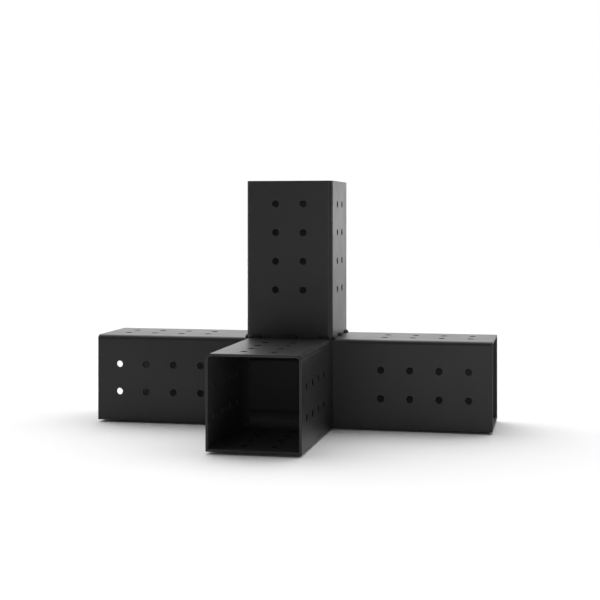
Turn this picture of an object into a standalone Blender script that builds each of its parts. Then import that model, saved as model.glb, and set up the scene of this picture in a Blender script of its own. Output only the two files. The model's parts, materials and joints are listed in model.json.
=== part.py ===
"""Pergola post bracket: square steel tube welded into one post socket and three beam sockets.

A through tube runs left to right and forms two beam sockets. A front sleeve meets its front face and a post sleeve
meets its top face, and the walls between them are windowed, so the four sockets open into one junction. Each tube is
a folded channel closed by a flat plate, so it has two round bends on its show side and two square edges behind them.
The sleeves' ends are coped to the tubes that they land on, and short weld tacks hold the seams.

Units are metres. +Z is up, -Y is the front and +X the right. The origin is on the post's axis, in the plane of the
through tube's underside.
"""
import math
from typing import NamedTuple

import bmesh
import bpy
from mathutils import Matrix, Vector

OBJECT_NAME = "pergola_post_bracket"

# Timber and tube
TIMBER_SIDE = 0.089
TIMBER_PLAY = 0.0036
WALL = 0.0027
BEND_INNER_RADIUS = 0.0025
SOCKET_LENGTH = 0.1763

# Screw holes, in every wall of every socket
HOLE_DIAMETER = 0.007
HOLE_PITCH = 0.0321
HOLE_ROWS = 4
HOLE_SPACING = 0.0314
HOLE_COLUMNS = 2
FIRST_HOLE = 0.0261

# Fits between the welded pieces
SEAM_GAP = 0.0003
WINDOW_LEDGE = 0.0003

# Weld tacks
TACK_INSET = 0.0097
CORNER_TACK_LENGTH = 0.016
CORNER_TACK_RISE = 0.0036
CORNER_TACK_REACH = 0.0036
MIDDLE_TACK_LENGTH = 0.0205
MIDDLE_TACK_RISE = 0.005
MIDDLE_TACK_REACH = 0.005
FLAT_TACK_PROUD = 0.0025
FLAT_TACK_HALF_WIDTH = 0.004

# Black powder coat on the tubes and, a little glossier, on the weld beads
TUBE_COLOUR = (0.022, 0.022, 0.023, 1)
TUBE_ROUGHNESS = 0.42
WELD_COLOUR = (0.02, 0.02, 0.021, 1)
WELD_ROUGHNESS = 0.36

# Smoothness of the round forms
BEND_STEPS = 4
HOLE_SIDES = 16
TACK_SEGMENTS = 16
TACK_RINGS = 10

# Sizes that follow from the ones above
CLEAR_SIDE = TIMBER_SIDE + TIMBER_PLAY
TUBE_SIDE = CLEAR_SIDE + 2 * WALL
HALF_SIDE = TUBE_SIDE / 2
BEND_RADIUS = BEND_INNER_RADIUS + WALL
REACH = HALF_SIDE + SOCKET_LENGTH
JUNCTION = Vector((0, 0, HALF_SIDE))

# How far the post's rear wall reaches round the bend of the tube below, measured from where that bend starts
COPE_DEPTH = math.sqrt((BEND_RADIUS + SEAM_GAP) ** 2 - BEND_RADIUS ** 2)
COPE_PLACE = HALF_SIDE - BEND_RADIUS + COPE_DEPTH

# Turns that lay a form's own +Z along a direction of the bracket, with its +Y side, where the bends are, up or in front
TO_RIGHT = Matrix.Rotation(math.radians(120), 4, Vector((1, 1, 1)))
TO_FRONT = Matrix.Rotation(math.radians(90), 4, "X")
TO_TOP = Matrix.Rotation(math.radians(180), 4, "Z")


class Tack(NamedTuple):
    """A weld tack: the middle of its bead on the seam, and its half sizes along the three axes."""

    name: str
    centre: Vector
    radii: Vector


def clear_scene():
    """Removes every object of the scene."""
    for item in list(bpy.data.objects):
        bpy.data.objects.remove(item, do_unlink=True)


def new_collection(name):
    """A fresh collection of that name in the scene."""
    old = bpy.data.collections.get(name)
    if old:
        bpy.data.collections.remove(old)
    collection = bpy.data.collections.new(name)
    bpy.context.scene.collection.children.link(collection)
    return collection


def coating(name, colour, roughness):
    """A black powder coat on steel."""
    material = bpy.data.materials.get(name) or bpy.data.materials.new(name)
    material.use_nodes = True
    shader = material.node_tree.nodes["Principled BSDF"]
    shader.inputs["Base Color"].default_value = colour
    shader.inputs["Roughness"].default_value = roughness
    shader.inputs["Metallic"].default_value = 0
    return material


def add_object(name, form, collection):
    """Turns a bmesh into an object in the collection."""
    mesh = bpy.data.meshes.new(name)
    form.to_mesh(mesh)
    form.free()
    item = bpy.data.objects.new(name, mesh)
    collection.objects.link(item)
    return item


def square_block(side, length):
    """A square bar along +Z from z = 0, with the two long edges of its +Y side weighted for a bevel."""
    form = bmesh.new()
    bmesh.ops.create_cube(form, size=1)
    bmesh.ops.scale(form, verts=form.verts, vec=(side, side, length))
    bmesh.ops.translate(form, verts=form.verts, vec=(0, 0, length / 2))
    weights = form.edges.layers.float.new("bevel_weight_edge")
    for edge in form.edges:
        start, end = (vertex.co for vertex in edge.verts)
        edge[weights] = 1.0 if abs(start.z - end.z) > length / 2 and start.y > 0 else 0.0
    return form


def round_long_edges(item, radius):
    """Rounds the weighted edges to the radius."""
    bevel = item.modifiers.new("bends", "BEVEL")
    bevel.limit_method = "WEIGHT"
    bevel.width = radius
    bevel.segments = BEND_STEPS
    bevel.use_clamp_overlap = False


def tube(name, length, place, turn, collection):
    """A length of the square tube, open at both ends: an open skin that gets its bends, then its wall."""
    form = square_block(TUBE_SIDE, length)
    ends = [face for face in form.faces if abs(face.normal.z) > 0.5]
    bmesh.ops.delete(form, geom=ends, context="FACES_ONLY")
    item = add_object(name, form, collection)
    item.matrix_world = Matrix.Translation(place) @ turn
    round_long_edges(item, BEND_RADIUS)
    wall = item.modifiers.new("wall", "SOLIDIFY")
    wall.thickness = WALL
    wall.offset = -1
    wall.use_even_offset = True
    item.data.materials.append(coating("powder_coat", TUBE_COLOUR, TUBE_ROUGHNESS))
    return item


def as_cutter(item):
    """Marks an object as a tool that isn't part of the bracket."""
    item.hide_render = True
    item.display_type = "WIRE"
    return item


def bar_cutter(name, side, radius, length, place, turn, collection):
    """A solid square bar with two round long edges, for cutting."""
    item = add_object(name, square_block(side, length), collection)
    item.matrix_world = Matrix.Translation(place) @ turn
    round_long_edges(item, radius)
    return as_cutter(item)


def envelope(name, place, turn, collection):
    """The outer form of a tube from the junction outwards, grown by the gap that a seam keeps."""
    return bar_cutter(name, TUBE_SIDE + 2 * SEAM_GAP, BEND_RADIUS + SEAM_GAP, 2 * REACH, place, turn, collection)


def window_cutter(name, turn, collection):
    """The clear section of a sleeve, carried on through one wall of the through tube to the junction's middle."""
    side = CLEAR_SIDE - 2 * WINDOW_LEDGE
    radius = max(BEND_INNER_RADIUS - WINDOW_LEDGE, 0.2 * BEND_INNER_RADIUS)
    return bar_cutter(name, side, radius, TUBE_SIDE, JUNCTION, turn, collection)


def hole_stations():
    """Distances of the rows from a socket's mouth. No row comes nearer the junction than the first is to the mouth."""
    rows_that_fit = int((SOCKET_LENGTH - 2 * FIRST_HOLE) / HOLE_PITCH) + 1
    return [FIRST_HOLE + row * HOLE_PITCH for row in range(min(HOLE_ROWS, rows_that_fit))]


def hole_offsets():
    """Places of the hole columns across a wall, about its middle."""
    middle = (HOLE_COLUMNS - 1) / 2
    return [(column - middle) * HOLE_SPACING for column in range(HOLE_COLUMNS)]


def drill_set(name, outward, across, collection):
    """Drills for one pair of opposite walls of the sockets along the outward directions.

    Each drill runs along the third direction, square to outward and across, through both walls.
    """
    form = bmesh.new()
    drill_axis = outward[0].cross(across)
    turn = Vector((0, 0, 1)).rotation_difference(drill_axis).to_matrix().to_4x4()
    for direction in outward:
        for station in hole_stations():
            for offset in hole_offsets():
                middle = JUNCTION + direction * (REACH - station) + across * offset
                bmesh.ops.create_cone(
                    form,
                    cap_ends=True,
                    segments=HOLE_SIDES,
                    radius1=HOLE_DIAMETER / 2,
                    radius2=HOLE_DIAMETER / 2,
                    depth=TUBE_SIDE + 2 * WALL,
                    matrix=Matrix.Translation(middle) @ turn,
                )
    return as_cutter(add_object(name, form, collection))


def cut(item, *cutters):
    """Takes all the cutters out of the object in one step."""
    tools = bpy.data.collections.new(f"{item.name}_tools")
    for cutter in cutters:
        tools.objects.link(cutter)
    step = item.modifiers.new("cuts", "BOOLEAN")
    step.operation = "DIFFERENCE"
    step.solver = "EXACT"
    step.operand_type = "COLLECTION"
    step.collection = tools


def through_tube(parts, cutters):
    """The left-to-right tube, with windows under the sleeves and screw holes in both its sockets."""
    item = tube("through_tube", 2 * REACH, JUNCTION - Vector((REACH, 0, 0)), TO_RIGHT, parts)
    both_ways = (Vector((1, 0, 0)), Vector((-1, 0, 0)))
    cut(
        item,
        window_cutter("front_window", TO_FRONT, cutters),
        window_cutter("top_window", TO_TOP, cutters),
        drill_set("through_tube_level_drills", both_ways, Vector((0, 0, 1)), cutters),
        drill_set("through_tube_upright_drills", both_ways, Vector((0, 1, 0)), cutters),
    )


def front_sleeve(parts, cutters, through_form):
    """The socket that faces the front. Its inner end is coped to the through tube's upper bend and lower edge."""
    start = JUNCTION - Vector((0, HALF_SIDE - BEND_RADIUS, 0))
    item = tube("front_sleeve", SOCKET_LENGTH + BEND_RADIUS, start, TO_FRONT, parts)
    forward = (Vector((0, -1, 0)),)
    cut(
        item,
        through_form,
        drill_set("front_sleeve_level_drills", forward, Vector((0, 0, 1)), cutters),
        drill_set("front_sleeve_upright_drills", forward, Vector((1, 0, 0)), cutters),
    )


def post_sleeve(parts, cutters, through_form, front_form):
    """The upright socket. It stands on the front sleeve's end in front and is coped to the bend behind."""
    start = JUNCTION + Vector((0, 0, HALF_SIDE - BEND_RADIUS))
    item = tube("post_sleeve", SOCKET_LENGTH + BEND_RADIUS, start, TO_TOP, parts)
    upward = (Vector((0, 0, 1)),)
    cut(
        item,
        through_form,
        front_form,
        drill_set("post_sleeve_side_drills", upward, Vector((0, 1, 0)), cutters),
        drill_set("post_sleeve_front_drills", upward, Vector((1, 0, 0)), cutters),
    )


def corner_place():
    """How far a corner tack lies from the middle of its side."""
    return HALF_SIDE - TACK_INSET


def seam_tacks():
    """Tacks in the inner corners at the post sleeve's foot, in front and at both sides."""
    corner = Vector((CORNER_TACK_LENGTH / 2, CORNER_TACK_REACH, CORNER_TACK_RISE))
    middle = Vector((MIDDLE_TACK_LENGTH / 2, MIDDLE_TACK_REACH, MIDDLE_TACK_RISE))
    tacks = []
    for name, place, radii in (("left", -1, corner), ("middle", 0, middle), ("right", 1, corner)):
        centre = Vector((place * corner_place(), -HALF_SIDE, TUBE_SIDE))
        tacks.append(Tack(f"weld_front_{name}", centre, radii))
    for side, sign in (("left", -1), ("right", 1)):
        for name, place in (("near", -1), ("middle", 0), ("far", 1)):
            centre = Vector((sign * HALF_SIDE, place * corner_place(), TUBE_SIDE))
            tacks.append(Tack(f"weld_{side}_{name}", centre, Vector((corner.y, corner.x, corner.z))))
    return tacks


def flat_tacks():
    """Tacks over the seams that lie flush: behind the post sleeve, and under the front sleeve's inner end."""
    tacks = []
    for name, place, length in (
        ("left", -1, CORNER_TACK_LENGTH),
        ("middle", 0, MIDDLE_TACK_LENGTH),
        ("right", 1, CORNER_TACK_LENGTH),
    ):
        along = place * corner_place()
        behind = Vector((along, HALF_SIDE, HALF_SIDE + COPE_PLACE))
        under = Vector((along, -HALF_SIDE - SEAM_GAP / 2, 0))
        tacks.append(Tack(f"weld_rear_{name}", behind, Vector((length / 2, FLAT_TACK_PROUD, FLAT_TACK_HALF_WIDTH))))
        tacks.append(Tack(f"weld_under_{name}", under, Vector((length / 2, FLAT_TACK_HALF_WIDTH, FLAT_TACK_PROUD))))
    return tacks


def weld_tack(tack, parts, tube_forms):
    """One bead: a drop of weld metal with the tubes' forms taken out of it."""
    form = bmesh.new()
    bmesh.ops.create_uvsphere(form, u_segments=TACK_SEGMENTS, v_segments=TACK_RINGS, radius=1)
    bmesh.ops.scale(form, verts=form.verts, vec=tack.radii)
    item = add_object(tack.name, form, parts)
    item.location = tack.centre
    item.data.shade_smooth()
    item.data.materials.append(coating("coated_weld", WELD_COLOUR, WELD_ROUGHNESS))
    cut(item, *tube_forms)


def main():
    """Builds the bracket."""
    clear_scene()
    parts = new_collection(OBJECT_NAME)
    cutters = new_collection("cutters")
    through_form = envelope("through_tube_form", JUNCTION - Vector((REACH, 0, 0)), TO_RIGHT, cutters)
    front_form = envelope("front_sleeve_form", JUNCTION, TO_FRONT, cutters)
    post_form = envelope("post_sleeve_form", JUNCTION, TO_TOP, cutters)
    through_tube(parts, cutters)
    front_sleeve(parts, cutters, through_form)
    post_sleeve(parts, cutters, through_form, front_form)
    for tack in seam_tacks() + flat_tacks():
        weld_tack(tack, parts, (through_form, front_form, post_form))


main()
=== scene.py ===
"""Pergola post bracket: the finish of a welded bracket of square steel tube in black powder coat.

Three lengths of tube and fifteen weld tacks are modelled round the frame's plain solids, with the rounded
bends, cut edges and hole rims that a thick coat leaves. The places and main sizes come from the frame, and
the finer ones are named below.

Units are metres. +Z is up, -Y is the front and +X the right.
"""
import json
import math

import bmesh
import bpy
from bpy.props import (
    FloatProperty,
    FloatVectorProperty,
    IntProperty,
    PointerProperty,
)
from mathutils import Matrix, Vector, noise


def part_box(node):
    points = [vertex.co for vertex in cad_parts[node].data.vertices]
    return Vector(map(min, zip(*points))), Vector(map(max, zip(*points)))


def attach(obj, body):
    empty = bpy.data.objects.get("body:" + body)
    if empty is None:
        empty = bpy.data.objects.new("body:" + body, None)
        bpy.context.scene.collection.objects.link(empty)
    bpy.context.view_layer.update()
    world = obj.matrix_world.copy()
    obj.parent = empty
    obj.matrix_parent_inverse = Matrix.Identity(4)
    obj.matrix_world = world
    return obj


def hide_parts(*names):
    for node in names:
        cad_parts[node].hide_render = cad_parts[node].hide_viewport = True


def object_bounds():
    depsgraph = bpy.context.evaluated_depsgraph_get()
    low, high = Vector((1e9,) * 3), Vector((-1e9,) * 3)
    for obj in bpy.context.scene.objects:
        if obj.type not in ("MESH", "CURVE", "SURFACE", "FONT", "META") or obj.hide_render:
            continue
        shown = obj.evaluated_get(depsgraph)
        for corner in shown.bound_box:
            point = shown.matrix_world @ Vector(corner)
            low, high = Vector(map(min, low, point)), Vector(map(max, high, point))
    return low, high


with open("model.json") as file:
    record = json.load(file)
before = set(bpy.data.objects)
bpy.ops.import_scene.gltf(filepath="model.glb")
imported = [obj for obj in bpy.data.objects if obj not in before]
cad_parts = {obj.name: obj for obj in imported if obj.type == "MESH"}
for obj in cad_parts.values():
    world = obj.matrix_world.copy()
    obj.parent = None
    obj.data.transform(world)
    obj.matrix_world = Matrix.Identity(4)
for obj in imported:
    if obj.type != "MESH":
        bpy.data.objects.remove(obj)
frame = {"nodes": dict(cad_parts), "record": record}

bl_info = {
    "name": "Pergola Post Bracket",
    "version": (1, 0, 0),
    "blender": (4, 5, 0),
    "location": "View3D > Sidebar > Bracket",
    "description": "Models a welded bracket of square steel tube and its black powder coat",
    "category": "Add Mesh",
}

BODY = "root"
MILLIMETRE = 0.001

# What the frame gives: the box of the solids, and the tube's side, wall and reach
CAD_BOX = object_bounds()
MOUNTS = {mount["name"]: Vector(mount["pos_m"]) for mount in frame["record"]["mounts"]}
TUBE_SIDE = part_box("through_tube")[1].z
TUBE_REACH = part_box("through_tube")[1].x
TUBE_WALL = MOUNTS["right_beam_seat"].z
FLOOR_LEVEL = CAD_BOX[0].z

# Turns that lay a form's own +Z along a direction of the bracket
# Its +Y side, where the bends are, then faces up on a level form and to the front on an upright one
TO_RIGHT = Matrix.Rotation(math.radians(120), 4, Vector((1, 1, 1)))
TO_FRONT = Matrix.Rotation(math.radians(90), 4, "X")
TO_TOP = Matrix.Rotation(math.radians(180), 4, "Z")

# Outward directions of the seam that each family of tacks lies on
SEAM_FACES = {
    "front": (Vector((0, -1, 0)), Vector((0, 0, 1))),
    "right": (Vector((1, 0, 0)), Vector((0, 0, 1))),
    "left": (Vector((-1, 0, 0)), Vector((0, 0, 1))),
    "rear": (Vector((0, 1, 0)),),
    "under": (Vector((0, 0, -1)),),
}

# A direction lies along an axis where its share on it is over the first, and across it under the second
ALONG_SHARE = 0.9
ACROSS_SHARE = 0.1

# How near to a tube's corner, as a share of its side, and to a mouth's level an edge has to lie
CORNER_SHARE = 0.4999
LEVEL_TOLERANCE = MILLIMETRE / 10

# Profile of a bevel that leaves a round edge
ROUND_PROFILE = 0.5

# Angles in degrees where a drill widens, and its run past the wall's face as a share of the rounding
FLARE_ANGLES = (0, 25, 50, 75)
FLARE_RUN_OUT = 0.15

# Angles in degrees between two faces up to which the edge between them is shaded smooth
TUBE_SMOOTHING = 40
TACK_SMOOTHING = 60

# Facets of the ball that a tack starts from, round it and from end to end
TACK_SEGMENTS = 40
TACK_RINGS = 48

# How far a tack's ripples bow, and how far the lumps push them along
RIPPLE_BOW = 0.35
RIPPLE_DRIFT = 0.3

# Where the lumps of a tack are read from the noise: a step from tack to tack along X, and the same Y and Z
LUMP_STEP = 3.7
LUMP_ROW = 1.3
LUMP_LEVEL = 0.4

# The radius under which a ball's pole is too thin to be swelled
POLE_LIMIT = 1e-6

# The coat's index of refraction, the width of the clouds in its gloss, and how much gloss and tone vary
COAT_IOR = 1.5
CLOUD_SIZE = 0.05
GLOSS_VARIATION = 0.03
TONE_VARIATION = 0.1

# The part of a noise's range that most of it lies in, and how many finer layers each noise has
NOISE_MIDDLE = (0.3, 0.7)
PEEL_DETAIL = 2
WAVE_DETAIL = 1
CLOUD_DETAIL = 3

# Where the surround's brightness changes: above the floor, overhead, from left to right and front to back
ABOVE_FLOOR = (0.02, 0.16)
OVERHEAD = (0.35, 0.6)
LEFT_TO_RIGHT = (0.02, 0.2)
FRONT_TO_BACK = (-0.3, 0.3)

# The small lamp: its height above the camera, its width and the point that it faces
LAMP_RISE = 0.0185
LAMP_SIZE = 0.006
LAMP_AIM = (0, 0, 0.08)

# The camera's sensor in millimetres, and the nearest distance that it sees
SENSOR_WIDTH = 36
NEAREST_VIEW = 0.01


class BracketTubes(bpy.types.PropertyGroup):
    """Sizes of the square tubes."""

    side: FloatProperty(
        name="Side",
        description="Outer width of the square tube",
        default=TUBE_SIDE,
        min=0.02,
        unit="LENGTH",
        precision=4,
    )
    wall: FloatProperty(
        name="Wall",
        description="Thickness of the tube's wall",
        default=TUBE_WALL,
        min=0.001,
        unit="LENGTH",
        precision=4,
    )
    reach: FloatProperty(
        name="Reach",
        description="Distance from the middle of the junction to the mouth of a socket",
        default=TUBE_REACH,
        min=0.05,
        unit="LENGTH",
        precision=4,
    )
    bend_radius: FloatProperty(
        name="Bend radius",
        description="Outer radius of the tube's two bends",
        default=5.2 * MILLIMETRE,
        min=0.001,
        unit="LENGTH",
        precision=4,
    )
    bend_steps: IntProperty(
        name="Bend steps",
        description="Number of flats that make up a bend",
        default=10,
        min=2,
        max=24,
    )
    seam_gap: FloatProperty(
        name="Seam gap",
        description="Gap between a coped end and the tube that it lands on",
        default=0.3 * MILLIMETRE,
        min=0,
        unit="LENGTH",
        precision=5,
    )
    edge_round: FloatProperty(
        name="Edge rounding",
        description="Radius that the coat leaves on the mouths' edges and on the tube's two square edges",
        default=0.6 * MILLIMETRE,
        min=0,
        unit="LENGTH",
        precision=5,
    )
    edge_steps: IntProperty(
        name="Edge steps",
        description="Number of flats that make up a rounded edge",
        default=4,
        min=1,
        max=8,
    )


class BracketHoles(bpy.types.PropertyGroup):
    """Sizes of the screw holes, which are alike in every wall of every socket."""

    diameter: FloatProperty(
        name="Diameter",
        description="Width of a screw hole, a little over the frame's because its edge is eased",
        default=7.6 * MILLIMETRE,
        min=0.001,
        unit="LENGTH",
        precision=4,
    )
    rim_round: FloatProperty(
        name="Rim rounding",
        description="Radius that the coat leaves on the rim of a hole",
        default=0.15 * MILLIMETRE,
        min=0.00005,
        unit="LENGTH",
        precision=5,
    )
    pitch: FloatProperty(
        name="Pitch",
        description="Distance between the rows along a socket",
        default=32.1 * MILLIMETRE,
        min=0.001,
        unit="LENGTH",
        precision=4,
    )
    spacing: FloatProperty(
        name="Spacing",
        description="Distance between the two columns of holes across a wall",
        default=31.4 * MILLIMETRE,
        min=0.001,
        unit="LENGTH",
        precision=4,
    )
    first: FloatProperty(
        name="First row",
        description="Distance from a socket's mouth to its first row of holes",
        default=26.1 * MILLIMETRE,
        min=0.001,
        unit="LENGTH",
        precision=4,
    )
    rows: IntProperty(
        name="Rows",
        description="Number of rows of holes along a socket",
        default=4,
        min=1,
        max=12,
    )
    sides: IntProperty(
        name="Sides",
        description="Number of flats round a hole",
        default=32,
        min=8,
        max=64,
    )


class BracketWelds(bpy.types.PropertyGroup):
    """Shape of the weld tacks, whose places and lengths come from the frame."""

    root_depth: FloatProperty(
        name="Root depth",
        description="How far a tack runs into the faces that it joins",
        default=0.3 * MILLIMETRE,
        min=0,
        unit="LENGTH",
        precision=5,
    )
    fullness: FloatProperty(
        name="Fullness",
        description="How blunt the ends of a tack are: 2 is an ellipse, and more is blunter",
        default=2.6,
        min=1.5,
        max=6,
    )
    ripple_pitch: FloatProperty(
        name="Ripple pitch",
        description="Distance between the ripples along a tack",
        default=2.1 * MILLIMETRE,
        min=0.0005,
        unit="LENGTH",
        precision=5,
    )
    ripple_depth: FloatProperty(
        name="Ripple depth",
        description="Depth of the ripples, as a share of the tack's thickness",
        default=0.05,
        min=0,
        max=0.3,
    )
    lump_size: FloatProperty(
        name="Lump size",
        description="Width of the uneven lumps in a tack",
        default=5 * MILLIMETRE,
        min=0.0005,
        unit="LENGTH",
        precision=5,
    )
    lump_depth: FloatProperty(
        name="Lump depth",
        description="Depth of the lumps, as a share of the tack's thickness",
        default=0.22,
        min=0,
        max=0.6,
    )


class BracketCoat(bpy.types.PropertyGroup):
    """Colours and texture of the black powder coat, with painted shade on the bends, in the holes and on
    the tacks, and painted light on the inner faces.
    """

    tube_colour: FloatVectorProperty(
        name="Tube colour",
        description="Colour of the coat on the tubes",
        default=(0.018, 0.018, 0.019, 1),
        size=4,
        min=0,
        max=1,
        subtype="COLOR",
    )
    # Painted light: a lighter colour on the inner faces stands in for light inside the tubes
    painted_light_inner_colour: FloatVectorProperty(
        name="Inner colour",
        description="Colour of the thinner, greyer coat on the tubes' inner faces",
        default=(0.038, 0.038, 0.039, 1),
        size=4,
        min=0,
        max=1,
        subtype="COLOR",
    )
    tube_roughness: FloatProperty(
        name="Tube roughness",
        description="How matt the coat on the tubes is",
        default=0.4,
        min=0,
        max=1,
        subtype="FACTOR",
    )
    tube_shine: FloatProperty(
        name="Tube shine",
        description="How strongly the coat on the tubes reflects, inside and out: 0.5 is plain paint",
        default=0.34,
        min=0,
        max=1,
        subtype="FACTOR",
    )
    # Painted shade: a darker colour over the front sleeve's bends makes them look shaded
    painted_shade_bend_colour: FloatVectorProperty(
        name="Bend colour",
        description="Colour of the coat over the front sleeve's bends",
        default=(0.0095, 0.0095, 0.01, 1),
        size=4,
        min=0,
        max=1,
        subtype="COLOR",
    )
    bend_roughness: FloatProperty(
        name="Bend roughness",
        description="How matt the coat is over the front sleeve's bends, on inner faces and in holes",
        default=0.6,
        min=0,
        max=1,
        subtype="FACTOR",
    )
    bend_shine: FloatProperty(
        name="Bend shine",
        description="How strongly the coat reflects over the front sleeve's bends and in the holes",
        default=0.06,
        min=0,
        max=1,
        subtype="FACTOR",
    )
    # Painted shade: a darker colour inside the screw holes
    painted_shade_hole_colour: FloatVectorProperty(
        name="Hole colour",
        description="Colour of the thin coat inside the screw holes",
        default=(0.012, 0.012, 0.0125, 1),
        size=4,
        min=0,
        max=1,
        subtype="COLOR",
    )
    # Painted shade: a colour darker than the tubes' makes the tacks look shaded in the seams
    painted_shade_weld_colour: FloatVectorProperty(
        name="Weld colour",
        description="Colour of the coat on the weld tacks",
        default=(0.01, 0.01, 0.0105, 1),
        size=4,
        min=0,
        max=1,
        subtype="COLOR",
    )
    weld_roughness: FloatProperty(
        name="Weld roughness",
        description="How matt the coat on the weld tacks is",
        default=0.45,
        min=0,
        max=1,
        subtype="FACTOR",
    )
    weld_shine: FloatProperty(
        name="Weld shine",
        description="How strongly the coat on the weld tacks reflects",
        default=0.12,
        min=0,
        max=1,
        subtype="FACTOR",
    )
    peel_size: FloatProperty(
        name="Peel size",
        description="Width of the fine dimples in the coat",
        default=1.4 * MILLIMETRE,
        min=0.0002,
        unit="LENGTH",
        precision=5,
    )
    peel_depth: FloatProperty(
        name="Peel depth",
        description="Depth of the fine dimples in the coat",
        default=0.012 * MILLIMETRE,
        min=0,
        unit="LENGTH",
        precision=6,
    )
    wave_size: FloatProperty(
        name="Wave size",
        description="Width of the slow waves in the coat",
        default=9 * MILLIMETRE,
        min=0.001,
        unit="LENGTH",
        precision=5,
    )
    wave_depth: FloatProperty(
        name="Wave depth",
        description="Depth of the slow waves in the coat",
        default=0.03 * MILLIMETRE,
        min=0,
        unit="LENGTH",
        precision=6,
    )


class BracketStage(bpy.types.PropertyGroup):
    """The floor, the light and the camera, which aren't part of the bracket."""

    camera_place: FloatVectorProperty(
        name="Camera place",
        description="Where the camera stands",
        default=(0.30022, -1.50067, 0.23653),
        size=3,
        subtype="TRANSLATION",
        unit="LENGTH",
        precision=5,
    )
    camera_yaw: FloatProperty(
        name="Camera turn",
        description="How far the camera is turned to the left of straight ahead",
        default=math.radians(11.9834),
        subtype="ANGLE",
    )
    camera_lens: FloatProperty(
        name="Focal length",
        description="Focal length in millimetres, on a sensor 36 mm wide",
        default=79.485,
        min=10,
    )
    camera_shift: FloatVectorProperty(
        name="Camera shift",
        description="Sideways and upward shift of the level camera's picture, as shares of its width",
        default=(0.0295, -0.14257),
        size=2,
    )
    backdrop: FloatProperty(
        name="Backdrop",
        description="Brightness of the surround as a view sees it, which is plain white",
        default=1.0,
        min=0,
    )
    behind_left: FloatVectorProperty(
        name="Surround behind left",
        description="Brightness of the surround behind, to the left: at the floor, above it and overhead",
        default=(0.0, 1.68, 2.6),
        size=3,
        min=0,
    )
    behind_right: FloatVectorProperty(
        name="Surround behind right",
        description="Brightness of the surround behind, to the right: at the floor, above it and overhead",
        default=(2.62, 0.0, 2.2),
        size=3,
        min=0,
    )
    before_left: FloatVectorProperty(
        name="Surround before left",
        description="Brightness of the surround before, to the left: at the floor, above it and overhead",
        default=(0.0, 0.15, 0.38),
        size=3,
        min=0,
    )
    before_right: FloatVectorProperty(
        name="Surround before right",
        description="Brightness of the surround before, to the right: at the floor, above it and overhead",
        default=(0.0, 0.0, 0.0),
        size=3,
        min=0,
    )
    floor_colour: FloatVectorProperty(
        name="Floor colour",
        description="Colour of the floor",
        default=(0.92, 0.92, 0.92, 1),
        size=4,
        min=0,
        max=1,
        subtype="COLOR",
    )
    floor_size: FloatProperty(
        name="Floor size",
        description="Width of the floor",
        default=14,
        min=1,
        unit="LENGTH",
    )
    camera_light: FloatProperty(
        name="Camera light",
        description="Power of the small light just above the camera",
        default=1.5,
        min=0,
        unit="POWER",
    )


def deselect_all():
    """Leaves edit mode and selects nothing."""
    active = bpy.context.view_layer.objects.active
    if active and active.mode != "OBJECT":
        bpy.ops.object.mode_set(mode="OBJECT")
    bpy.ops.object.select_all(action="DESELECT")


def activate(item):
    """Makes the object the only selected one, and the active one."""
    deselect_all()
    item.select_set(True)
    bpy.context.view_layer.objects.active = item


def edit_where(item, kind, test):
    """Enters edit mode on the object with only the faces or edges selected that pass the test."""
    activate(item)
    bpy.ops.object.mode_set(mode="EDIT")
    bpy.ops.mesh.select_mode(type=kind)
    bpy.ops.mesh.select_all(action="DESELECT")
    form = bmesh.from_edit_mesh(item.data)
    for part in form.faces if kind == "FACE" else form.edges:
        if test(part):
            part.select_set(True)
    form.select_flush_mode()
    bmesh.update_edit_mesh(item.data)


def leave_edit():
    """Goes back to object mode."""
    bpy.ops.object.mode_set(mode="OBJECT")


def settle(item, place=None):
    """Puts the object's place, turn and size into its mesh."""
    activate(item)
    if place is not None:
        item.matrix_world = place
    bpy.ops.object.transform_apply(location=True, rotation=True, scale=True)


def apply_modifier(item, modifier):
    """Applies the modifier to the object's mesh."""
    activate(item)
    bpy.ops.object.modifier_apply(modifier=modifier.name)


def round_edges(radius, steps):
    """Rounds the selected edges and leaves edit mode."""
    bpy.ops.mesh.bevel(
        offset_type="OFFSET",
        offset=radius,
        segments=steps,
        profile=ROUND_PROFILE,
        clamp_overlap=False,
    )
    leave_edit()


def square_bar(name, side, radius, steps, length):
    """A square bar from the origin up along +Z, with the two long edges of its +Y side rounded."""
    deselect_all()
    bpy.ops.mesh.primitive_cube_add(size=1, location=(0, 0, length / 2), scale=(side, side, length))
    bar = bpy.context.object
    bar.name = name
    settle(bar)
    edit_where(bar, "EDGE", lambda edge: all(vertex.co.y > 0 for vertex in edge.verts) and is_upright(edge))
    round_edges(radius, steps)
    return bar


def is_upright(edge):
    """Tells whether the edge runs along Z."""
    along = edge.verts[1].co - edge.verts[0].co
    return abs(along.z) > ALONG_SHARE * along.length


def is_square_edge(edge, side):
    """Tells whether the edge is one of the outer long edges of a tube that have no bend."""
    corner = [(abs(vertex.co.x), -vertex.co.y) for vertex in edge.verts]
    return is_upright(edge) and all(min(place) > CORNER_SHARE * side for place in corner)


def at_rim(edge, levels):
    """Tells whether the edge borders the flat rim of a mouth at one of the levels."""
    ends = [face for face in edge.link_faces if abs(face.normal.z) > ALONG_SHARE]
    sides = [face for face in edge.link_faces if abs(face.normal.z) < ACROSS_SHARE]
    level = sum(vertex.co.z for vertex in edge.verts) / 2
    return bool(ends and sides) and any(abs(level - other) < LEVEL_TOLERANCE for other in levels)


def paint_shade_on_bends(item):
    """Puts a darker coat on the outside of a tube's bends: a painted shade along them."""
    item.data.materials.append(painted_shade_bend_coat())
    for face in item.data.polygons:
        if face.material_index == 0 and min(abs(face.normal.x), abs(face.normal.y)) > ACROSS_SHARE:
            face.material_index = 2


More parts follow.
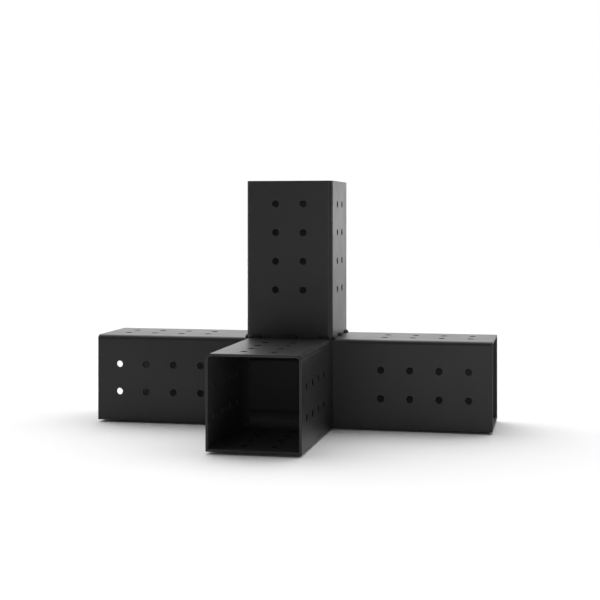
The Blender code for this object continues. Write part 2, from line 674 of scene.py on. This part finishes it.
def tube(name, length, mouths):
    """A length of square tube from the origin up along +Z, its mouths' edges and square edges rounded."""
    sizes = bpy.context.scene.bracket_tubes
    item = square_bar(name, sizes.side, sizes.bend_radius, sizes.bend_steps, length)
    edit_where(item, "FACE", lambda face: abs(face.normal.z) > ALONG_SHARE)
    bpy.ops.mesh.delete(type="ONLY_FACE")
    leave_edit()
    wall = item.modifiers.new("wall", "SOLIDIFY")
    wall.thickness = sizes.wall
    wall.offset = -1
    wall.use_even_offset = True
    apply_modifier(item, wall)
    edit_where(item, "EDGE", lambda edge: at_rim(edge, mouths) or is_square_edge(edge, sizes.side))
    round_edges(sizes.edge_round, sizes.edge_steps)
    item.data.materials.append(tube_coat())
    # The inner faces take a lighter colour, painted light inside the tubes
    item.data.materials.append(painted_light_inner_coat())
    for face in item.data.polygons:
        if face.center.x * face.normal.x + face.center.y * face.normal.y < 0:
            face.material_index = 1
    return item


def junction():
    """The middle of the junction of the sockets."""
    return Vector((0, 0, bpy.context.scene.bracket_tubes.side / 2))


def solid_form(name, margin, place, turn):
    """The outer form of a tube from the junction outwards, grown by the margin, for cutting."""
    sizes = bpy.context.scene.bracket_tubes
    side = sizes.side + 2 * margin
    radius = sizes.bend_radius + margin
    bar = square_bar(name, side, radius, sizes.bend_steps, 2 * sizes.reach)
    settle(bar, Matrix.Translation(place) @ turn)
    return bar


def through_form(margin):
    """The outer form of the through tube, grown by the margin."""
    reach = bpy.context.scene.bracket_tubes.reach
    return solid_form("through_form", margin, junction() - Vector((reach, 0, 0)), TO_RIGHT)


def front_form(margin):
    """The outer form of the front sleeve, grown by the margin."""
    return solid_form("front_form", margin, junction(), TO_FRONT)


def post_form(margin):
    """The outer form of the post sleeve, grown by the margin."""
    return solid_form("post_form", margin, junction(), TO_TOP)


def window_form(name, turn):
    """The clear section of a sleeve, from the junction through one wall of the through tube."""
    sizes = bpy.context.scene.bracket_tubes
    side = sizes.side - 2 * sizes.wall - 2 * sizes.seam_gap
    radius = sizes.bend_radius - sizes.wall - sizes.seam_gap
    bar = square_bar(name, side, radius, sizes.bend_steps, sizes.side)
    settle(bar, Matrix.Translation(junction()) @ turn)
    return bar


def flare(level, outward, bore, rounding):
    """Heights and radii where a drill widens to the face of a wall, from the bore to just past the face."""
    points = []
    for angle in map(math.radians, FLARE_ANGLES):
        height = level - outward * rounding * (1 - math.sin(angle))
        points.append((height, bore + rounding * (1 - math.cos(angle))))
    last_height, last_radius = points[-1]
    run_out = FLARE_RUN_OUT * rounding
    slope = math.tan(math.radians(FLARE_ANGLES[-1]))
    points.append((last_height + outward * run_out, last_radius + run_out * slope))
    return points


def drill_profile():
    """Heights and radii of a drill through both walls of a tube, from its foot to its top."""
    sizes = bpy.context.scene.bracket_tubes
    holes = bpy.context.scene.bracket_holes
    outer = sizes.side / 2
    inner = outer - sizes.wall
    bore = holes.diameter / 2
    inside = flare(inner, -1, bore, holes.rim_round)[::-1]
    outside = flare(outer, 1, bore, holes.rim_round)
    top = [(outer + sizes.wall, outside[-1][1])]
    upper = inside + outside + top
    lower = [(-height, radius) for height, radius in upper[::-1]]
    return lower + upper


def drill():
    """One drill about the origin along Z: a disc drawn up ring by ring, wider where it passes a face."""
    profile = drill_profile()
    height, radius = profile[0]
    deselect_all()
    bpy.ops.mesh.primitive_circle_add(
        vertices=bpy.context.scene.bracket_holes.sides,
        radius=radius,
        fill_type="NGON",
        location=(0, 0, height),
    )
    item = bpy.context.object
    item.name = "drill"
    settle(item)
    bpy.ops.object.mode_set(mode="EDIT")
    bpy.ops.mesh.select_mode(type="FACE")
    bpy.ops.mesh.select_all(action="SELECT")
    for next_height, next_radius in profile[1:]:
        rise = (0, 0, next_height - height)
        bpy.ops.mesh.extrude_region_move(TRANSFORM_OT_translate={"value": rise})
        share = next_radius / radius
        bpy.ops.transform.resize(value=(share, share, 1), center_override=(0, 0, next_height))
        height, radius = next_height, next_radius
    bpy.ops.mesh.select_all(action="SELECT")
    bpy.ops.mesh.normals_make_consistent(inside=False)
    leave_edit()
    # The hole walls take a darker colour, painted shade in the holes
    item.data.materials.append(painted_shade_hole_coat())
    return item


def drills(outward):
    """Drills for all four walls of the sockets along the outward directions."""
    sizes = bpy.context.scene.bracket_tubes
    holes = bpy.context.scene.bracket_holes
    axes = [Vector((1, 0, 0)), Vector((0, 1, 0)), Vector((0, 0, 1))]
    first = drill()
    placed = []
    for direction in outward:
        crossways = [axis for axis in axes if not axis.dot(direction)]
        for across, along in (crossways, crossways[::-1]):
            turn = Vector((0, 0, 1)).rotation_difference(along).to_matrix().to_4x4()
            for row in range(holes.rows):
                station = sizes.reach - holes.first - row * holes.pitch
                for offset in (-holes.spacing / 2, holes.spacing / 2):
                    place = junction() + direction * station + across * offset
                    copy = bpy.data.objects.new("drill", first.data.copy())
                    bpy.context.scene.collection.objects.link(copy)
                    copy.matrix_world = Matrix.Translation(place) @ turn
                    placed.append(copy)
    bpy.data.objects.remove(first, do_unlink=True)
    return placed


def cut(item, cutters):
    """Takes the cutters out of the object in one step."""
    tools = bpy.data.collections.new("cutters")
    for cutter in cutters:
        tools.objects.link(cutter)
    cuts = item.modifiers.new("cuts", "BOOLEAN")
    cuts.operation = "DIFFERENCE"
    cuts.solver = "EXACT"
    cuts.material_mode = "TRANSFER"
    cuts.operand_type = "COLLECTION"
    cuts.collection = tools
    apply_modifier(item, cuts)
    bpy.data.collections.remove(tools)


def discard(items):
    """Removes the objects."""
    for item in items:
        bpy.data.objects.remove(item, do_unlink=True)


def smooth(item, angle):
    """Shades bends and rims round and keeps the flats flat."""
    activate(item)
    bpy.ops.object.shade_smooth_by_angle(angle=math.radians(angle))
    even = item.modifiers.new("even_normals", "WEIGHTED_NORMAL")
    even.mode = "FACE_AREA"
    even.keep_sharp = True
    apply_modifier(item, even)


def finish_piece(item, node):
    """Hides the node that the piece stands for and hangs the piece on the body that carries it."""
    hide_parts(node)
    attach(item, BODY)


def noise_texture(tree, coordinates, width, detail, place):
    """A noise texture whose features have the given width."""
    node = tree.nodes.new("ShaderNodeTexNoise")
    node.location = place
    node.inputs["Scale"].default_value = 1 / width
    node.inputs["Detail"].default_value = detail
    tree.links.new(coordinates.outputs["Object"], node.inputs["Vector"])
    return node


def bump(tree, height, depth, below, place):
    """A bump of the given depth, over another bump if there is one."""
    node = tree.nodes.new("ShaderNodeBump")
    node.location = place
    node.inputs["Strength"].default_value = 1
    node.inputs["Distance"].default_value = depth
    tree.links.new(height.outputs["Fac"], node.inputs["Height"])
    if below:
        tree.links.new(below.outputs["Normal"], node.inputs["Normal"])
    return node


def spread(tree, source, low, high, place):
    """Maps the middle of a noise's range to the values from low to high."""
    node = tree.nodes.new("ShaderNodeMapRange")
    node.location = place
    node.inputs["From Min"].default_value = NOISE_MIDDLE[0]
    node.inputs["From Max"].default_value = NOISE_MIDDLE[1]
    node.inputs["To Min"].default_value = low
    node.inputs["To Max"].default_value = high
    tree.links.new(source.outputs["Fac"], node.inputs["Value"])
    return node


def powder_coat(name, colour, roughness, shine):
    """Black powder coat: fine dimples over slow waves, and a gloss that varies a little over the piece."""
    existing = bpy.data.materials.get(name)
    if existing:
        return existing
    coat = bpy.context.scene.bracket_coat
    material = bpy.data.materials.new(name)
    material.use_nodes = True
    tree = material.node_tree
    shader = tree.nodes["Principled BSDF"]
    shader.inputs["IOR"].default_value = COAT_IOR
    shader.inputs["Specular IOR Level"].default_value = shine
    coordinates = tree.nodes.new("ShaderNodeTexCoord")
    coordinates.location = (-1300, 0)
    peel = noise_texture(tree, coordinates, coat.peel_size, PEEL_DETAIL, (-1050, -300))
    wave = noise_texture(tree, coordinates, coat.wave_size, WAVE_DETAIL, (-1050, -550))
    cloud = noise_texture(tree, coordinates, CLOUD_SIZE, CLOUD_DETAIL, (-1050, 0))
    slow = bump(tree, wave, coat.wave_depth, None, (-700, -550))
    fine = bump(tree, peel, coat.peel_depth, slow, (-450, -400))
    tree.links.new(fine.outputs["Normal"], shader.inputs["Normal"])
    gloss = spread(tree, cloud, roughness - GLOSS_VARIATION, roughness + GLOSS_VARIATION, (-700, 0))
    tree.links.new(gloss.outputs["Result"], shader.inputs["Roughness"])
    tone = tree.nodes.new("ShaderNodeMix")
    tone.data_type = "RGBA"
    tone.location = (-450, 250)
    tone.inputs["A"].default_value = [value * (1 - TONE_VARIATION) for value in colour[:3]] + [1]
    tone.inputs["B"].default_value = [value * (1 + TONE_VARIATION) for value in colour[:3]] + [1]
    tree.links.new(peel.outputs["Fac"], tone.inputs["Factor"])
    tree.links.new(tone.outputs["Result"], shader.inputs["Base Color"])
    return material


def tube_coat():
    """The coat on the outside of the tubes, apart from the front sleeve's bends."""
    coat = bpy.context.scene.bracket_coat
    return powder_coat("tube_coat", coat.tube_colour, coat.tube_roughness, coat.tube_shine)


def painted_shade_bend_coat():
    """The coat over the front sleeve's bends, darker as a painted shade."""
    coat = bpy.context.scene.bracket_coat
    return powder_coat("painted_shade_bend_coat", coat.painted_shade_bend_colour, coat.bend_roughness, coat.bend_shine)


def painted_light_inner_coat():
    """A lighter coat on the tubes' inner faces: painted light inside the tubes."""
    coat = bpy.context.scene.bracket_coat
    return powder_coat("painted_light_inner_coat", coat.painted_light_inner_colour, coat.bend_roughness, coat.tube_shine)


def painted_shade_hole_coat():
    """A darker coat inside the screw holes: painted shade in them."""
    coat = bpy.context.scene.bracket_coat
    return powder_coat("painted_shade_hole_coat", coat.painted_shade_hole_colour, coat.bend_roughness, coat.bend_shine)


def painted_shade_weld_coat():
    """The coat on the weld tacks, darker than the tubes' as painted shade."""
    coat = bpy.context.scene.bracket_coat
    return powder_coat("painted_shade_weld_coat", coat.painted_shade_weld_colour, coat.weld_roughness, coat.weld_shine)


class BRACKET_OT_through_tube(bpy.types.Operator):
    """Models the tube that runs left to right, windowed under both sleeves"""

    bl_idname = "bracket.through_tube"
    bl_label = "Through Tube"
    bl_options = {"REGISTER", "UNDO"}

    def execute(self, context):
        sizes = context.scene.bracket_tubes
        item = tube("coated_through_tube", 2 * sizes.reach, (0, 2 * sizes.reach))
        settle(item, Matrix.Translation(junction() - Vector((sizes.reach, 0, 0))) @ TO_RIGHT)
        cutters = [window_form("front_window", TO_FRONT), window_form("top_window", TO_TOP)]
        cutters += drills((Vector((1, 0, 0)), Vector((-1, 0, 0))))
        cut(item, cutters)
        discard(cutters)
        smooth(item, TUBE_SMOOTHING)
        finish_piece(item, "through_tube")
        return {"FINISHED"}


class BRACKET_OT_front_sleeve(bpy.types.Operator):
    """Models the socket that faces the front, coped to the through tube"""

    bl_idname = "bracket.front_sleeve"
    bl_label = "Front Sleeve"
    bl_options = {"REGISTER", "UNDO"}

    def execute(self, context):
        sizes = context.scene.bracket_tubes
        start = sizes.side / 2 - sizes.bend_radius
        length = sizes.reach - start
        item = tube("coated_front_sleeve", length, (length,))
        # The front sleeve's bends take a painted shade
        paint_shade_on_bends(item)
        settle(item, Matrix.Translation(junction() - Vector((0, start, 0))) @ TO_FRONT)
        cutters = [through_form(sizes.seam_gap)] + drills((Vector((0, -1, 0)),))
        cut(item, cutters)
        discard(cutters)
        smooth(item, TUBE_SMOOTHING)
        finish_piece(item, "front_sleeve")
        return {"FINISHED"}


class BRACKET_OT_post_sleeve(bpy.types.Operator):
    """Models the upright socket, coped to the tubes that it stands on"""

    bl_idname = "bracket.post_sleeve"
    bl_label = "Post Sleeve"
    bl_options = {"REGISTER", "UNDO"}

    def execute(self, context):
        sizes = context.scene.bracket_tubes
        start = sizes.side / 2 - sizes.bend_radius
        length = sizes.reach - start
        item = tube("coated_post_sleeve", length, (length,))
        settle(item, Matrix.Translation(junction() + Vector((0, 0, start))) @ TO_TOP)
        cutters = [through_form(sizes.seam_gap), front_form(sizes.seam_gap)]
        cutters += drills((Vector((0, 0, 1)),))
        cut(item, cutters)
        discard(cutters)
        smooth(item, TUBE_SMOOTHING)
        finish_piece(item, "post_sleeve")
        return {"FINISHED"}


def tack_form(node, family):
    """Centre on the seam and half sizes of a tack, from its node's box and the faces that it lies on."""
    low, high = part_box(node)
    half = bpy.context.scene.bracket_tubes.side / 2
    middle = junction()
    centre = (low + high) / 2
    radii = (high - low) / 2
    for outward in SEAM_FACES[family]:
        axis = [abs(part) for part in outward].index(1)
        seam = middle[axis] + outward[axis] * half
        edge = high[axis] if outward[axis] > 0 else low[axis]
        centre[axis] = seam
        radii[axis] = abs(edge - seam)
    return centre, radii


def shape_tack(item, radii, seed):
    """Makes a ball into a tack: blunt ends, ripples across it and uneven lumps, within its half sizes."""
    welds = bpy.context.scene.bracket_welds
    run = 0 if radii.x >= radii.y else 1
    across = 1 - run
    points = []
    for vertex in item.data.vertices:
        point = vertex.co.copy()
        along = max(-1.0, min(1.0, point[run]))
        round_share = math.sqrt(max(0.0, 1 - along * along))
        blunt_share = (1 - abs(along) ** welds.fullness) ** (1 / welds.fullness)
        swell = blunt_share / round_share if round_share > POLE_LIMIT else 1
        point[across] *= swell
        point.z *= swell
        place = Vector(point[axis] * radii[axis] for axis in range(3))
        lump = noise.noise(place / welds.lump_size + seed)
        bow = RIPPLE_BOW * (place[across] ** 2 + place.z ** 2) / max(radii[across], radii.z)
        phase = (place[run] + bow) / welds.ripple_pitch + RIPPLE_DRIFT * lump
        ripple = math.sin(2 * math.pi * phase)
        growth = 1 + welds.lump_depth * lump + welds.ripple_depth * ripple
        place[across] *= growth
        place.z *= growth
        points.append(place)
    for axis in range(3):
        for sign in (-1, 1):
            reach = max(sign * point[axis] for point in points)
            for point in points:
                if sign * point[axis] > 0:
                    point[axis] *= radii[axis] / reach
    for vertex, point in zip(item.data.vertices, points):
        vertex.co = point


class BRACKET_OT_weld_tacks(bpy.types.Operator):
    """Models the weld tacks along the seams"""

    bl_idname = "bracket.weld_tacks"
    bl_label = "Weld Tacks"
    bl_options = {"REGISTER", "UNDO"}

    def execute(self, context):
        welds = context.scene.bracket_welds
        nodes = sorted(name for name in frame["nodes"] if name.startswith("weld_"))
        if not nodes:
            raise RuntimeError("The frame has no weld tacks")
        sink = -welds.root_depth
        forms = [through_form(sink), front_form(sink), post_form(sink)]
        for number, node in enumerate(nodes):
            family = node.split("_")[1]
            centre, radii = tack_form(node, family)
            deselect_all()
            turn = (0, math.radians(90), 0) if radii.x >= radii.y else (math.radians(90), 0, 0)
            bpy.ops.mesh.primitive_uv_sphere_add(
                segments=TACK_SEGMENTS,
                ring_count=TACK_RINGS,
                radius=1,
                rotation=turn,
            )
            item = bpy.context.object
            item.name = node.replace("weld_", "tack_")
            settle(item)
            shape_tack(item, radii, Vector((LUMP_STEP * number, LUMP_ROW, LUMP_LEVEL)))
            settle(item, Matrix.Translation(centre))
            # The tacks take a darker coat, painted shade on them
            item.data.materials.append(painted_shade_weld_coat())
            cut(item, forms)
            smooth(item, TACK_SMOOTHING)
            finish_piece(item, node)
        discard(forms)
        return {"FINISHED"}


def floor_material():
    """Plain pale floor."""
    stage = bpy.context.scene.bracket_stage
    material = bpy.data.materials.new("pale_floor")
    material.use_nodes = True
    shader = material.node_tree.nodes["Principled BSDF"]
    shader.inputs["Base Color"].default_value = stage.floor_colour
    shader.inputs["Roughness"].default_value = 1
    shader.inputs["Specular IOR Level"].default_value = 0
    return material


def ramp(tree, source, output, limits, values, place):
    """A smooth change from the first value or socket to the second, where the output is in the limits."""
    node = tree.nodes.new("ShaderNodeMapRange")
    node.location = place
    node.interpolation_type = "SMOOTHSTEP"
    node.inputs["From Min"].default_value = limits[0]
    node.inputs["From Max"].default_value = limits[1]
    tree.links.new(source.outputs[output], node.inputs["Value"])
    for name, value in zip(("To Min", "To Max"), values):
        if isinstance(value, bpy.types.NodeSocket):
            tree.links.new(value, node.inputs[name])
        else:
            node.inputs[name].default_value = value
    return node.outputs["Result"]


def quarter(tree, parts, brightness, row):
    """One quarter of the surround, from the floor up: low, middle and high."""
    low, middle, high = brightness
    lower = ramp(tree, parts, "Z", ABOVE_FLOOR, (low, middle), (-800, row))
    return ramp(tree, parts, "Z", OVERHEAD, (lower, high), (-600, row))


def white_surround():
    """A surround that is bright behind the bracket and overhead, and dark before it near the floor.

    A view sees it as plain white.
    """
    stage = bpy.context.scene.bracket_stage
    world = bpy.data.worlds.new("white_surround")
    world.use_nodes = True
    tree = world.node_tree
    background = tree.nodes["Background"]
    background.inputs["Color"].default_value = (1, 1, 1, 1)
    coordinates = tree.nodes.new("ShaderNodeTexCoord")
    coordinates.location = (-1300, 0)
    parts = tree.nodes.new("ShaderNodeSeparateXYZ")
    parts.location = (-1100, 0)
    tree.links.new(coordinates.outputs["Generated"], parts.inputs["Vector"])
    quarters = (stage.before_left, stage.before_right, stage.behind_left, stage.behind_right)
    parted = [quarter(tree, parts, brightness, -300 * row) for row, brightness in enumerate(quarters)]
    before = ramp(tree, parts, "X", LEFT_TO_RIGHT, parted[:2], (-400, 0))
    behind = ramp(tree, parts, "X", LEFT_TO_RIGHT, parted[2:], (-400, -600))
    strength = ramp(tree, parts, "Y", FRONT_TO_BACK, (before, behind), (-200, -300))
    rays = tree.nodes.new("ShaderNodeLightPath")
    rays.location = (-200, 200)
    seen = ramp(tree, rays, "Is Camera Ray", (0, 1), (strength, stage.backdrop), (0, 0))
    tree.links.new(seen, background.inputs["Strength"])
    bpy.context.scene.world = world


def small_lamp(place, power):
    """A small square light that faces the bracket."""
    deselect_all()
    bpy.ops.object.light_add(type="AREA", location=place)
    lamp = bpy.context.object
    lamp.name = "camera_light"
    lamp.rotation_euler = (Vector(LAMP_AIM) - place).to_track_quat("-Z", "Y").to_euler()
    lamp.data.size = LAMP_SIZE
    lamp.data.energy = power


class BRACKET_OT_stage(bpy.types.Operator):
    """Makes the floor, the light and the camera"""

    bl_idname = "bracket.stage"
    bl_label = "Stage"
    bl_options = {"REGISTER", "UNDO"}

    def execute(self, context):
        stage = context.scene.bracket_stage
        context.scene.view_settings.view_transform = "Standard"
        deselect_all()
        bpy.ops.mesh.primitive_plane_add(size=stage.floor_size, location=(0, 0, FLOOR_LEVEL))
        floor = context.object
        floor.name = "floor"
        settle(floor)
        floor.data.materials.append(floor_material())
        white_surround()
        small_lamp(Vector(stage.camera_place) + Vector((0, 0, LAMP_RISE)), stage.camera_light)
        deselect_all()
        bpy.ops.object.camera_add(
            location=stage.camera_place,
            rotation=(math.radians(90), 0, stage.camera_yaw),
        )
        camera = context.object
        camera.name = "camera"
        camera.data.lens = stage.camera_lens
        camera.data.sensor_width = SENSOR_WIDTH
        camera.data.shift_x, camera.data.shift_y = stage.camera_shift
        camera.data.clip_start = NEAREST_VIEW
        context.scene.camera = camera
        return {"FINISHED"}


class BRACKET_PT_panel(bpy.types.Panel):
    """The bracket's sizes, colours and steps, in the sidebar"""

    bl_idname = "BRACKET_PT_panel"
    bl_label = "Pergola Post Bracket"
    bl_space_type = "VIEW_3D"
    bl_region_type = "UI"
    bl_category = "Bracket"

    def draw(self, context):
        for name in GROUPS:
            group = getattr(context.scene, name)
            box = self.layout.box()
            for field in type(group).__annotations__:
                box.prop(group, field)
        for operator in STEPS:
            self.layout.operator(operator.bl_idname)


GROUPS = {
    "bracket_tubes": BracketTubes,
    "bracket_holes": BracketHoles,
    "bracket_welds": BracketWelds,
    "bracket_coat": BracketCoat,
    "bracket_stage": BracketStage,
}
STEPS = (
    BRACKET_OT_through_tube,
    BRACKET_OT_front_sleeve,
    BRACKET_OT_post_sleeve,
    BRACKET_OT_weld_tacks,
    BRACKET_OT_stage,
)
CLASSES = (*GROUPS.values(), *STEPS, BRACKET_PT_panel)


def register():
    """Registers the classes and hangs the property groups on the scene."""
    for cls in CLASSES:
        bpy.utils.register_class(cls)
    for name, group in GROUPS.items():
        setattr(bpy.types.Scene, name, PointerProperty(type=group))


def unregister():
    """Takes the property groups and the classes away again."""
    for name in GROUPS:
        delattr(bpy.types.Scene, name)
    for cls in reversed(CLASSES):
        bpy.utils.unregister_class(cls)


def main():
    """Makes every piece and the stage in order."""
    register()
    bpy.ops.bracket.through_tube()
    bpy.ops.bracket.front_sleeve()
    bpy.ops.bracket.post_sleeve()
    bpy.ops.bracket.weld_tacks()
    bpy.ops.bracket.stage()


if __name__ == "__main__":
    main()
